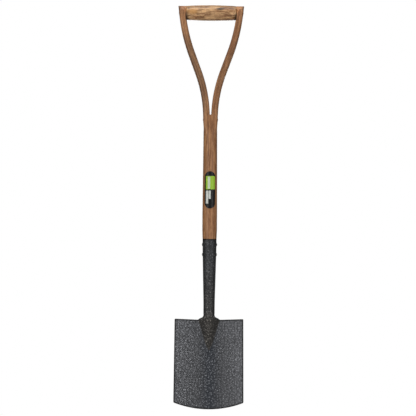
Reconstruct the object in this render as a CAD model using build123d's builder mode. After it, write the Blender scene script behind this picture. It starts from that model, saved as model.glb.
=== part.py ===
from build123d import *
import os
from math import asin, atan2, cos, degrees, hypot, radians, sin, sqrt, tan

# Garden spade: a one-piece pressed steel head riveted to an ash shaft, whose top is sawn
# down the middle and steam-bent into a wishbone that carries a turned cross grip.
#
# Millimetres. The origin is the centre of the grip, on the shaft's centre line. +Z runs up
# the shaft, -Y is the front, towards which the blade is dished, and +X runs along the grip.

# ---------------------------------------------------------------- driving dimensions
SHEET = 2.0             # steel thickness of the head
FIT = 0.08              # gap left between pieces that are a push fit

LIFT = radians(8.0)     # how far the blade leans forward of the shaft
HEEL_Z = -773.0         # centre of the blade's top edge
BLADE_LENGTH = 221.0    # heel to the middle of the cutting edge, along the blade
SIDE_LENGTH = 204.0     # heel to the bottom corners, along the blade
TOP_HALF = 86.2         # half the blade's width at its top edge
BOTTOM_HALF = 87.0      # half the blade's width at the bottom corners
TOP_RISE = 2.0          # the top corners stand this far above the heel
DISH_RADIUS = 330.0     # the blade's hollow, across its width
CORNER = 2.0            # rounding of the blade's corners, seen from the front

FROG_LENGTH = 80.0      # the pressed V below the heel
FROG_HALF = 27.5        # half its width at the heel
FROG_CREST = 14.9       # its height at the heel
FROG_NOSE = 11.5        # radius of its crest at the heel
TOE = 1.6               # its flanks run on this far into the blade
FROG_TOP = (-14.0, 15.2, 12.0)   # above the heel: distance, height and crest radius
SHOULDER = 7.0          # the blade's edge meets the socket's side this far above the heel
NECK_FILLET = 5.0       # rounding of the corner between them

MOUTH_Z = -569.0        # top of the socket
SOCKET_OUTLINE = ((17.6, MOUTH_Z), (17.4, -600.0), (14.3, -728.0), (14.1, -795.0))
SOCKET_TOE_Z = -773.5   # where the socket ends in front, inside the V
SOCKET_BACK_Z = -750.0  # where its back opens into the hollow of the V
SEAM = 1.8              # gap where the rolled edges meet, up the back of the socket

RIVET_ZS = (-583.5, -608.5)
RIVET_SHANK = 2.6
RIVET_HEAD = 4.9
RIVET_PROUD = 1.7

TENON_END_Z = -742.0    # how far the shaft runs down inside the socket
SHAFT_OUTLINE = ((17.1, -287.0), (18.5, -505.0), (18.5, -545.0), (17.7, MOUTH_Z + 0.3))
BLEND_Z = -311.0        # where the round shaft starts to turn into the wishbone's root
ROOT_Z = -287.0         # bottom of the wishbone
CROTCH_Z = -257.5       # bottom of the gap between its arms

ARM_THICK = 17.0        # across the arm, in the plane of the bend
ARM_DEPTH = 32.0        # front to back
ARM_EDGE_OUT = 6.5      # rounding of the arms' outer and inner edges
ARM_EDGE_IN = 4.0
ARM_START_X = 9.2       # the arm's centre line at the root
ARM_LEANS = [radians(lean) for lean in (2.0, 20.25, 6.3)]   # at the root, midway, at the top
ARM_STRAIGHTS = (32.0, 52.0, 75.0)
ARM_RADII = (333.0, 413.0)
ARM_TOP_Z = 17.0        # the round tops of the arms, level with the grip
ARM_FACE_X = 62.7       # their inner sides turn upright at this x, where the grip seats

GRIP_MID = 19.3         # radius at its middle
GRIP_END = 17.3         # radius at its ends
GRIP_HALF = 62.6        # half the length of its full-sized part
GRIP_EDGE = 3.0         # rounding of its ends
SEAT = 14.0             # radius of the spigots let into the arms
SEAT_X = 65.0           # how far out they reach
TENON = 9.0             # radius of the tenons beyond them
TENON_X = 75.0
ROD = 3.0               # radius of the steel rod through the grip

ROVE = (7.0, 1.4)       # radius and thickness of the washers that the rod is closed on
ROVE_SEAT_X = 79.0      # they sit on flats cut in the arms, at this x
FORK_RIVET_Z = -269.0
FORK_SHANK = 2.5
FORK_ROVE = (5.5, 1.2)
FORK_SEAT_X = 17.1      # the flats that this rivet's head and washer sit on
ROVE_ROOM = 0.2         # the flats are this much larger in radius than what sits on them
PEEN_RISE = 0.9         # height of a hammered rivet end
PEEN_SPREAD = 1.4       # how far it spreads past its shank

LABEL_TOP_Z = -399.5
LABEL_LENGTH = 93.0
LABEL_WIDTH = 26.0      # seen from the front
LABEL_THICK = 0.3
LABEL_GAP = 0.05        # it lies this far off the wood

CLEAR = 120.0           # shapes that cut, or are cut to size, run on at least this far
POINT = 0.02            # the V is cut off where this share of its size is left
HOUSING_X = 55.0        # the grip's seats are cut from here, in the gap between the arms

# ---------------------------------------------------------------- shared frames and shapes
DOWN_BLADE = Vector(0, -sin(LIFT), -cos(LIFT))
BLADE_FRONT = Vector(0, -cos(LIFT), sin(LIFT))
HEEL = Vector(0, 0, HEEL_Z)


def across_blade(down):
    """The plane square to the blade, this far below the heel: x across, y to the front."""
    return Plane(origin=HEEL + DOWN_BLADE * down, x_dir=(1, 0, 0), z_dir=DOWN_BLADE)


def dish(x):
    """How far the blade's front surface stands forward at x."""
    return DISH_RADIUS - sqrt(DISH_RADIUS**2 - x**2)


def radius_at(outline, z):
    """The radius of a turned outline at a height."""
    for (r_top, z_top), (r_low, z_low) in zip(outline, outline[1:]):
        if z_low <= z <= z_top:
            return r_top + (r_low - r_top) * (z_top - z) / (z_top - z_low)
    raise ValueError(f"no radius at z={z}")


def thinner(outline, less):
    """A turned outline, this much smaller in radius."""
    return [(r - less, z) for r, z in outline]


def turned(points):
    """A solid turned about Z from (radius, z) points, closed along the axis."""
    with BuildPart() as solid:
        with BuildSketch(Plane.XZ):
            with BuildLine():
                Polyline((0, points[0][1]), *points, (0, points[-1][1]), close=True)
            make_face()
        revolve(axis=Axis.Z)
    return solid.part


def drill(radius, reach, z=0):
    """A round bar along X through the Z axis, to cut holes with."""
    with BuildPart() as bar:
        with Locations(Location((0, 0, z), (0, 90, 0))):
            Cylinder(radius, 2 * reach)
    return bar.part


def end_bar(radius, inner_x, outer_x, z=0):
    """A round bar along X between two distances, and its mirror image, to cut seats with."""
    with BuildPart() as bars:
        with Locations(Location(((inner_x + outer_x) / 2, 0, z), (0, 90, 0))):
            Cylinder(radius, outer_x - inner_x)
        mirror(about=Plane.YZ)
    return bars.part


def headed_bar(shank, *ends):
    """A bar on the X axis with a head at each end, as (seat, brim, radius, rise) of each.

    A head is straight-sided from its seat to its brim, both measured from the middle of the
    bar, and then a dome. The first head is on the right.
    """
    with BuildPart() as bar:
        with BuildSketch():
            with BuildLine():
                roots = []
                tips = []
                for (seat, brim, radius, rise), turn in zip(ends, (1, -1)):
                    side = Polyline((turn * seat, shank), (turn * seat, radius), (turn * brim, radius))
                    ball = (radius**2 + rise**2) / (2 * rise)
                    halfway = brim + rise - ball + sqrt(ball**2 - radius**2 / 4)
                    dome = ThreePointArc(side @ 1, (turn * halfway, radius / 2), (turn * (brim + rise), 0))
                    roots.append(side @ 0)
                    tips.append(dome @ 1)
                Line(*roots)
                Line(*tips)
            make_face()
        revolve(axis=Axis.X)
    return bar.part


def frog_section(down, size, crest, nose, back):
    """The V's section this far below the heel: a rounded crest on two straight flanks.

    Its surface lies this far back in the sheet, and all of it is scaled by its size.
    """
    foot_x = FROG_HALF
    foot_y = dish(FROG_HALF)
    nose_y = crest - nose
    slope = asin(nose / hypot(foot_x, foot_y - nose_y)) + atan2(nose_y - foot_y, foot_x)
    toe_x = foot_x + TOE
    points = (
        (toe_x, foot_y - TOE * tan(slope)),
        (nose * sin(slope), nose_y + nose * cos(slope)),
        (0, crest),
        (0, -crest),
    )
    foot, touch, top, base = (Vector(x * size, y * size - back) for x, y in points)
    with BuildSketch(across_blade(down)) as section:
        with BuildLine():
            flank = Line(foot, touch)
            crest_arc = ThreePointArc(flank @ 1, top, (-touch.X, touch.Y))
            Polyline(crest_arc @ 1, (-foot.X, foot.Y), base, foot)
        make_face()
    return section.sketch


def frog(back, run_on):
    """The V as a solid, its surface this far back, running on above its top section.

    Below the heel it shrinks evenly, so that it dies away to nothing at its point.
    """
    top, crest, nose = FROG_TOP
    with BuildPart() as solid:
        add(frog_section(top - run_on, 1, crest, nose, back))
        add(frog_section(0, 1, FROG_CREST, FROG_NOSE, back))
        add(frog_section(FROG_LENGTH * (1 - POINT), POINT, FROG_CREST, FROG_NOSE, back))
        loft(ruled=True)
    return solid.part


# ---------------------------------------------------------------- head
with BuildPart() as head_outline:
    neck = radius_at(SOCKET_OUTLINE, HEEL_Z)
    with BuildSketch(Plane(origin=HEEL - BLADE_FRONT * CLEAR / 2, x_dir=(1, 0, 0), z_dir=BLADE_FRONT)) as outline:
        with BuildLine():
            right = Polyline(
                (0, -FROG_TOP[0]),
                (neck, -FROG_TOP[0]),
                (neck, SHOULDER),
                (FROG_HALF, 0),
                (TOP_HALF, TOP_RISE),
                (BOTTOM_HALF, -SIDE_LENGTH),
            )
            ThreePointArc(right @ 1, (0, -BLADE_LENGTH), (-BOTTOM_HALF, -SIDE_LENGTH))
            mirror(right, about=Plane.YZ)
        make_face()
        fillet(outline.vertices().filter_by(lambda v: abs(v.X) > 0.95 * TOP_HALF), CORNER)
        fillet(outline.vertices().filter_by(lambda v: abs(v.Y - SHOULDER) < 0.01), NECK_FILLET)
        fillet(outline.vertices().filter_by(lambda v: abs(abs(v.X) - FROG_HALF) < 0.01), NECK_FILLET)
    extrude(amount=CLEAR)

with BuildPart() as blade:
    with BuildSketch(across_blade(FROG_TOP[0] - 2)):
        half = BOTTOM_HALF + 6
        grow = (DISH_RADIUS + SHEET) / DISH_RADIUS
        back_y = DISH_RADIUS - (DISH_RADIUS - dish(half)) * grow
        with BuildLine():
            front = ThreePointArc((-half, dish(half)), (0, 0), (half, dish(half)))
            rear = ThreePointArc((half * grow, back_y), (0, -SHEET), (-half * grow, back_y))
            Line(front @ 1, rear @ 0)
            Line(rear @ 1, front @ 0)
        make_face()
    extrude(amount=2 - FROG_TOP[0] + BLADE_LENGTH + 10)
    add(frog(0, 0))
    add(head_outline.part, mode=Mode.INTERSECT)
    add(frog(SHEET, 4), mode=Mode.SUBTRACT)

with BuildPart() as socket_bore:
    add(turned([(SOCKET_OUTLINE[0][0] - SHEET, MOUTH_Z + 2), *thinner(SOCKET_OUTLINE, SHEET)]))
    # The lower end slopes: long in front, where it runs into the V, and open behind.
    slope = atan2(SOCKET_BACK_Z - SOCKET_TOE_Z, 2 * neck)
    end_plane = Plane(origin=(0, -neck, SOCKET_TOE_Z), x_dir=(1, 0, 0), z_dir=(0, -sin(slope), cos(slope)))
    split(bisect_by=end_plane, keep=Keep.TOP)

with BuildPart() as head:
    add(turned(SOCKET_OUTLINE))
    split(bisect_by=end_plane, keep=Keep.TOP)
    add(blade.part)
    add(socket_bore.part, mode=Mode.SUBTRACT)
    with Locations((0, CLEAR / 2, (MOUTH_Z + HEEL_Z) / 2)):
        Box(SEAM, CLEAR, MOUTH_Z - HEEL_Z + CLEAR, mode=Mode.SUBTRACT)
    for z in RIVET_ZS:
        add(drill(RIVET_SHANK + FIT, CLEAR, z), mode=Mode.SUBTRACT)

# ---------------------------------------------------------------- socket rivets
def socket_rivet(z):
    """A rivet across the socket, with a domed head fitted to the steel on each side."""
    reach = radius_at(SOCKET_OUTLINE, z)
    head_end = (reach - 2, reach, RIVET_HEAD, RIVET_PROUD)
    with BuildPart() as around_shank:
        add(turned(thinner(SOCKET_OUTLINE, -FIT / 4)))
        add(drill(RIVET_SHANK, CLEAR, z), mode=Mode.SUBTRACT)
    with BuildPart() as rivet:
        add(headed_bar(RIVET_SHANK, head_end, head_end).moved(Location((0, 0, z))))
        add(around_shank.part, mode=Mode.SUBTRACT)
    return rivet.part


# ---------------------------------------------------------------- shaft with its wishbone
def arm_side(outward):
    """One side of the right arm, this far outward of its centre line, from the root up."""
    root, middle, top = ARM_LEANS
    start = Vector(ARM_START_X + outward * cos(root), ROOT_Z - outward * sin(root))
    with BuildLine() as side:
        rise = Line(start, start + Vector(sin(root), cos(root)) * ARM_STRAIGHTS[0])
        out = JernArc(rise @ 1, rise % 1, ARM_RADII[0] - outward, -degrees(middle - root))
        run = Line(out @ 1, out @ 1 + (out % 1) * ARM_STRAIGHTS[1])
        back = JernArc(run @ 1, run % 1, ARM_RADII[1] + outward, degrees(middle - top))
        Line(back @ 1, back @ 1 + (back % 1) * ARM_STRAIGHTS[2])
    return side.line


def long_edges(edges):
    """The edges that run up the arms' front and back faces."""
    flat = edges.filter_by(lambda e: abs(abs(e.center().Y) - ARM_DEPTH / 2) < 0.01)
    return flat.filter_by(lambda e: e.bounding_box().size.Z > 1)


with BuildPart() as shaft:
    outer = arm_side(ARM_THICK / 2)
    inner = arm_side(-ARM_THICK / 2)
    with BuildSketch(Plane.XZ):
        with BuildLine():
            add(outer)
            mirror(about=Plane.YZ)
            Line(outer @ 0, (-(outer @ 0).X, (outer @ 0).Y))
            Line(outer @ 1, (-(outer @ 1).X, (outer @ 1).Y))
        make_face()
    extrude(amount=ARM_DEPTH / 2, both=True)
    fillet(long_edges(shaft.edges()), ARM_EDGE_OUT)

    # The gap between the arms. Its round bottom touches both arms' inner sides.
    lean = ARM_LEANS[0]
    foot = inner @ 0
    kerf = (foot.X * cos(lean) + (CROTCH_Z - foot.Y) * sin(lean)) / (1 - sin(lean))
    touch = Vector(kerf * cos(lean), CROTCH_Z + kerf - kerf * sin(lean))
    with BuildSketch(Plane.XZ):
        with BuildLine():
            Line(touch, inner.edges()[0] @ 1)
            add(inner.edges()[1:])
            mirror(about=Plane.YZ)
            ThreePointArc((-touch.X, touch.Y), (0, CROTCH_Z), touch)
            Line(inner @ 1, (-(inner @ 1).X, (inner @ 1).Y))
        make_face()
        Rectangle(2 * ARM_FACE_X, 6 * CLEAR, mode=Mode.INTERSECT)
    extrude(amount=ARM_DEPTH, both=True, mode=Mode.SUBTRACT)
    fillet(long_edges(shaft.edges(Select.NEW)), ARM_EDGE_IN)

    # The arms' tops are rounded about the grip's axis.
    with BuildSketch(Plane.YZ.offset(-CLEAR)):
        with BuildLine():
            radius = ARM_DEPTH / 2
            spring_z = ARM_TOP_Z - radius
            top = ThreePointArc((radius, spring_z), (0, ARM_TOP_Z), (-radius, spring_z))
            Polyline(top @ 1, (-radius, BLEND_Z), (radius, BLEND_Z), top @ 0)
        make_face()
    extrude(amount=2 * CLEAR, mode=Mode.INTERSECT)

    # The round shaft swells into the wishbone's root, and ends in a tenon that fills the socket.
    blend_radius = radius_at(SHAFT_OUTLINE, BLEND_Z)
    root_face = shaft.faces().sort_by(Axis.Z)[0]
    with BuildSketch(Plane.XY.offset(BLEND_Z)) as round_end:
        Circle(blend_radius)
    loft(sections=[round_end.sketch.face(), root_face])
    bore = thinner(SOCKET_OUTLINE, SHEET + FIT)
    round_part = [(r, z) for r, z in SHAFT_OUTLINE if z < BLEND_Z]
    shoulder = (bore[0][0], round_part[-1][1])
    tenon = [(r, z) for r, z in bore[1:] if z > TENON_END_Z]
    tenon_end = (radius_at(bore, TENON_END_Z), TENON_END_Z)
    add(turned([(blend_radius, BLEND_Z), *round_part, shoulder, *tenon, tenon_end]))

    for z in RIVET_ZS:
        add(drill(RIVET_SHANK + FIT / 2, CLEAR, z), mode=Mode.SUBTRACT)
    add(drill(FORK_SHANK + FIT / 2, CLEAR, FORK_RIVET_Z), mode=Mode.SUBTRACT)
    add(end_bar(FORK_ROVE[0] + ROVE_ROOM, FORK_SEAT_X, CLEAR, FORK_RIVET_Z), mode=Mode.SUBTRACT)
    add(drill(ROD + FIT / 2, CLEAR), mode=Mode.SUBTRACT)
    add(end_bar(ROVE[0] + ROVE_ROOM, ROVE_SEAT_X, CLEAR), mode=Mode.SUBTRACT)
    add(end_bar(TENON + FIT, HOUSING_X, TENON_X + FIT), mode=Mode.SUBTRACT)
    add(end_bar(SEAT + FIT, HOUSING_X, SEAT_X + FIT), mode=Mode.SUBTRACT)
    add(end_bar(GRIP_END + FIT, HOUSING_X, GRIP_HALF + FIT), mode=Mode.SUBTRACT)

# ---------------------------------------------------------------- grip
with BuildPart() as grip:
    with BuildSketch() as grip_half:
        with BuildLine():
            swell = ThreePointArc((-GRIP_HALF, GRIP_END), (0, GRIP_MID), (GRIP_HALF, GRIP_END))
            steps = ((GRIP_HALF, SEAT), (SEAT_X, SEAT), (SEAT_X, TENON), (TENON_X, TENON), (TENON_X, 0))
            right = Polyline(swell @ 1, *steps)
            left = Polyline(swell @ 0, *[(-x, r) for x, r in steps])
            Line(right @ 1, left @ 1)
        make_face()
        fillet(grip_half.vertices().filter_by(lambda v: abs(v.Y - GRIP_END) < 0.01), GRIP_EDGE)
    revolve(axis=Axis.X)
    add(drill(ROD + FIT, CLEAR), mode=Mode.SUBTRACT)

# ---------------------------------------------------------------- grip rod and its roves
def rove(size, shank, seat_x, z=0):
    """A washer on the right arm's flat, with a push-fit hole for its rivet."""
    radius, thick = size
    with BuildPart() as washer:
        with Locations(Location((seat_x + thick / 2 + FIT / 2, 0, z), (0, 90, 0))):
            Cylinder(radius, thick)
            Cylinder(shank + FIT, thick, mode=Mode.SUBTRACT)
        fillet(washer.edges().group_by(Axis.X)[-1].sort_by(SortBy.LENGTH)[-1], thick * 0.45)
    return washer.part


with BuildPart() as grip_rod:
    closed_x = ROVE_SEAT_X + ROVE[1] + FIT
    peen = (closed_x, closed_x + 0.1, ROD + PEEN_SPREAD, PEEN_RISE)
    add(headed_bar(ROD, peen, peen))

with BuildPart() as grip_rove_right:
    add(rove(ROVE, ROD, ROVE_SEAT_X))

with BuildPart() as grip_rove_left:
    add(mirror(grip_rove_right.part, about=Plane.YZ, mode=Mode.PRIVATE))

# ---------------------------------------------------------------- wishbone rivet and its rove
with BuildPart() as fork_rove:
    add(rove(FORK_ROVE, FORK_SHANK, FORK_SEAT_X, FORK_RIVET_Z))

with BuildPart() as fork_rivet:
    closed_x = FORK_SEAT_X + FORK_ROVE[1] + FIT
    peen = (closed_x, closed_x + 0.1, FORK_SHANK + PEEN_SPREAD / 2, PEEN_RISE)
    factory_head = (FORK_SEAT_X + FIT / 2, FORK_SEAT_X + 0.8, FORK_ROVE[0] - 0.3, 1.2)
    add(headed_bar(FORK_SHANK, peen, factory_head).moved(Location((0, 0, FORK_RIVET_Z))))

# ---------------------------------------------------------------- label
with BuildPart() as label:
    span = (LABEL_TOP_Z, LABEL_TOP_Z - LABEL_LENGTH)
    inside = [(radius_at(SHAFT_OUTLINE, z) + LABEL_GAP, z) for z in span]
    add(turned(thinner(inside, -LABEL_THICK)))
    add(turned(inside), mode=Mode.SUBTRACT)
    with BuildSketch(Plane.XZ):
        with Locations((0, sum(span) / 2)):
            SlotOverall(LABEL_LENGTH, LABEL_WIDTH, rotation=90)
    extrude(amount=CLEAR, mode=Mode.INTERSECT)

# ---------------------------------------------------------------- export
pieces = {
    "head": head.part,
    "socket_rivet_upper": socket_rivet(RIVET_ZS[0]),
    "socket_rivet_lower": socket_rivet(RIVET_ZS[1]),
    "shaft": shaft.part,
    "grip": grip.part,
    "grip_rod": grip_rod.part,
    "grip_rove_left": grip_rove_left.part,
    "grip_rove_right": grip_rove_right.part,
    "fork_rivet": fork_rivet.part,
    "fork_rivet_rove": fork_rove.part,
    "label": label.part,
}
os.makedirs("parts", exist_ok=True)
for name, piece in pieces.items():
    piece.label = name
    export_step(piece, f"parts/{name}.step")
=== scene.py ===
"""Garden spade: the finished surfaces and materials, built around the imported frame.

Laid out as an add-on: the property groups hold what a user would change, each operator makes
one piece or a group of like pieces, and main() runs them all in order.
"""

from math import cos, pi, radians, sin, sqrt, tan, asin, atan2, hypot

import bmesh
import bpy
import numpy as np
from bpy.props import FloatProperty, FloatVectorProperty, PointerProperty
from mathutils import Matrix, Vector


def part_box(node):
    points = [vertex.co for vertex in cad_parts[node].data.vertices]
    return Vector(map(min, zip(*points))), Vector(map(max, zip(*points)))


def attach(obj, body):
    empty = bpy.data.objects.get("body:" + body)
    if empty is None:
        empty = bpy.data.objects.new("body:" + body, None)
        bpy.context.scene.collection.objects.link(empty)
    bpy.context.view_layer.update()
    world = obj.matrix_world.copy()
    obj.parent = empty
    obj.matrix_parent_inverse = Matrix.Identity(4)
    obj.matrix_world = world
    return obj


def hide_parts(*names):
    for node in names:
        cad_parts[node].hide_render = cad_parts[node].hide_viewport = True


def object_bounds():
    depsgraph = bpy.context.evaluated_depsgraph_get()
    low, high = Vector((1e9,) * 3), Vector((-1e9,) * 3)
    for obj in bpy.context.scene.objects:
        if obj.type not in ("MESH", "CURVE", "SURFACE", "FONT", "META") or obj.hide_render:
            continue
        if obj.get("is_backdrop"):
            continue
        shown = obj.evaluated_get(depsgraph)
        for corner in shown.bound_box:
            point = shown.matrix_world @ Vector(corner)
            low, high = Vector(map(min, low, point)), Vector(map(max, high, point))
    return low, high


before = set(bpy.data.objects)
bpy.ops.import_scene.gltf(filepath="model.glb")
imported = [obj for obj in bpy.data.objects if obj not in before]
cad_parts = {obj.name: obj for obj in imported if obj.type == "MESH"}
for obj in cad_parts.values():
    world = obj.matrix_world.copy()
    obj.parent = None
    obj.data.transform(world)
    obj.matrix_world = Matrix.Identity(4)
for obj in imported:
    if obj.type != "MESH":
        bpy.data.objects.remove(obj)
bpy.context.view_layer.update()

bl_info = {
    "name": "Garden spade",
    "version": (1, 0, 0),
    "blender": (4, 5, 0),
    "location": "3D View > Sidebar > Spade",
    "description": "Builds a garden spade: pressed head, bent ash shaft, turned grip, label, studio",
    "category": "Object",
}

ROOT = "root"
MM = 0.001
WELD = 1e-6     # points closer than this become one


# ---------------------------------------------------------------- what a user would change
def metres(name, description, default):
    """A length that can be changed."""
    return FloatProperty(name=name, description=description, default=default, unit="LENGTH")


def paint(name, description, default):
    """A colour that can be changed."""
    return FloatVectorProperty(name=name, description=description, default=default, size=4,
                               min=0, max=1, subtype="COLOR")


class SpadeHeadSettings(bpy.types.PropertyGroup):
    sheet: metres("Sheet", "Thickness of the steel", 0.002)
    lift: FloatProperty(name="Lift", description="Lean of the blade, forward of the shaft",
                        default=radians(8), subtype="ANGLE")
    heel_z: metres("Heel", "Height of the middle of the blade's top edge", -0.773)
    length: metres("Length", "Heel to the middle of the cutting edge", 0.2209)
    side: metres("Side", "Heel to the bottom corners", 0.204)
    top_half: metres("Half width above", "Half the width at the top edge", 0.0857)
    low_half: metres("Half width below", "Half the width at the bottom corners", 0.0864)
    top_rise: metres("Corner rise", "Top corners above the heel", 0.002)
    corner: metres("Corner radius", "Rounding of the blade's corners", 0.002)
    dish: metres("Dish", "Radius of the blade's hollow", 0.330)
    frog_length: metres("V length", "Length of the pressed V", 0.080)
    frog_half: metres("V half width", "Half its width at the heel", 0.0275)
    frog_crest: metres("V height", "Height of its crest at the heel", 0.0145)
    frog_nose: metres("V nose", "Radius of its crest at the heel", 0.0115)
    soften: metres("Soften", "How softly the V runs out into the blade", 0.0011)
    neck: metres("Neck", "Height over which the sheet rolls up into the socket", 0.023)
    seam: metres("Seam", "Gap between the socket's rolled edges", 0.0018)
    colour: paint("Enamel", "Colour of the enamel", (0.096, 0.098, 0.105, 1))
    # painted shade: a darker copy of the blade's enamel, for the socket and the V
    pressed: paint("Socket enamel", "Enamel on the socket and the V", (0.049, 0.0472, 0.045, 1))


class SpadeShaftSettings(bpy.types.PropertyGroup):
    depth: metres("Depth", "Front to back of the wishbone", 0.032)
    thick: metres("Thickness", "Across one arm", 0.017)
    edge_out: metres("Outer edge", "Rounding of the arms' outer edges", 0.0065)
    edge_in: metres("Inner edge", "Rounding of the arms' inner edges", 0.004)
    blend_z: metres("Blend", "Where the round shaft starts to turn square", -0.311)
    root_z: metres("Root", "Bottom of the wishbone", -0.287)
    crotch_z: metres("Crotch", "Bottom of the gap between the arms", -0.2575)
    face_x: metres("Seat", "Where the arms' inner sides turn upright", 0.0627)
    dark: paint("Dark grain", "Colour of the late wood", (0.20, 0.082, 0.031, 1))
    light: paint("Light grain", "Colour of the early wood", (0.39, 0.19, 0.082, 1))
    stain: paint("Stain", "Colour of the broad stains", (0.22, 0.085, 0.030, 1))


class SpadeGripSettings(bpy.types.PropertyGroup):
    middle: metres("Middle", "Radius at its middle", 0.0193)
    end: metres("End", "Radius at its ends", 0.0173)
    half: metres("Half length", "Half its length between the arms", 0.0626)
    edge: metres("Edge", "Rounding of its ends", 0.0018)
    dark: paint("Dark grain", "Colour of the late wood", (0.20, 0.088, 0.035, 1))
    light: paint("Light grain", "Colour of the early wood", (0.60, 0.36, 0.175, 1))
    stain: paint("Stain", "Colour of the broad stains", (0.36, 0.155, 0.055, 1))


class SpadeLabelSettings(bpy.types.PropertyGroup):
    thick: metres("Thickness", "Thickness of the vinyl", 0.0003)
    ink: paint("Vinyl", "Colour of the vinyl", (0.005, 0.0054, 0.006, 1))
    panel: paint("Panel", "Colour of the plain panel", (0.30, 0.50, 0.035, 1))
    bars: paint("Bars", "Colour of the plain bars", (0.62, 0.64, 0.60, 1))


class SpadeStudioSettings(bpy.types.PropertyGroup):
    distance: metres("Distance", "Camera to the shaft", 2.2)
    frame_width: metres("Frame", "Width seen at the shaft", 1.0484)
    eye_z: metres("Eye", "Height of the camera", -0.4914)
    aside: metres("Aside", "How far the camera stands left of the shaft", 0.0045)
    roll: FloatProperty(name="Roll", description="Turn of the camera about its view", default=radians(0.43),
                        subtype="ANGLE")


# ---------------------------------------------------------------- meshes from grids
def grid_faces(rows, cols):
    """Quads of a grid of rows by cols points, numbered row after row."""
    r = np.arange(rows - 1)[:, None]
    c = np.arange(cols - 1)[None, :]
    a = r * cols + c
    return np.stack([a, a + 1, a + cols + 1, a + cols], axis=-1).reshape(-1, 4)


def patchwork(name, patches, marks=None):
    """One mesh from grids of points, each (rows, cols, 3), welded where they meet.

    marks holds values to store, one for each point, under their names.
    """
    points = np.concatenate([p.reshape(-1, 3) for p in patches])
    faces = []
    start = 0
    for patch in patches:
        faces.append(grid_faces(*patch.shape[:2]) + start)
        start += patch.shape[0] * patch.shape[1]
    mesh = bpy.data.meshes.new(name)
    mesh.from_pydata(points.tolist(), [], np.concatenate(faces).tolist())
    for key, values in (marks or {}).items():
        attribute = mesh.attributes.new(key, "FLOAT", "POINT")
        attribute.data.foreach_set("value", values.astype(np.float32))
    return settle(mesh)


def settle(mesh):
    """Welds what meets, drops what has no area and points every face outwards."""
    work = bmesh.new()
    work.from_mesh(mesh)
    bmesh.ops.remove_doubles(work, verts=work.verts, dist=WELD)
    bmesh.ops.dissolve_degenerate(work, edges=work.edges, dist=WELD / 10)
    bmesh.ops.recalc_face_normals(work, faces=work.faces)
    work.to_mesh(mesh)
    work.free()
    return mesh


def place(mesh, material, replaced, angle):
    """Makes a piece of a mesh: smooth but for its sharp edges, riding on the one body."""
    mesh.materials.append(material)
    mesh.shade_smooth()
    mesh.set_sharp_from_angle(angle=radians(angle))
    piece = bpy.data.objects.new(mesh.name, mesh)
    bpy.context.scene.collection.objects.link(piece)
    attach(piece, ROOT)
    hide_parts(replaced)


def ends_of(node):
    """The low and the high corner of a CAD piece's box."""
    low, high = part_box(node)
    return np.array(low), np.array(high)


def coordinates(mesh):
    """A mesh's points as an array."""
    points = np.empty(len(mesh.vertices) * 3)
    mesh.vertices.foreach_get("co", points)
    return points.reshape(-1, 3)


def smooth(t):
    """Runs from 0 to 1 as t does, level at both ends."""
    t = np.clip(t, 0, 1)
    return t * t * (3 - 2 * t)


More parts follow.
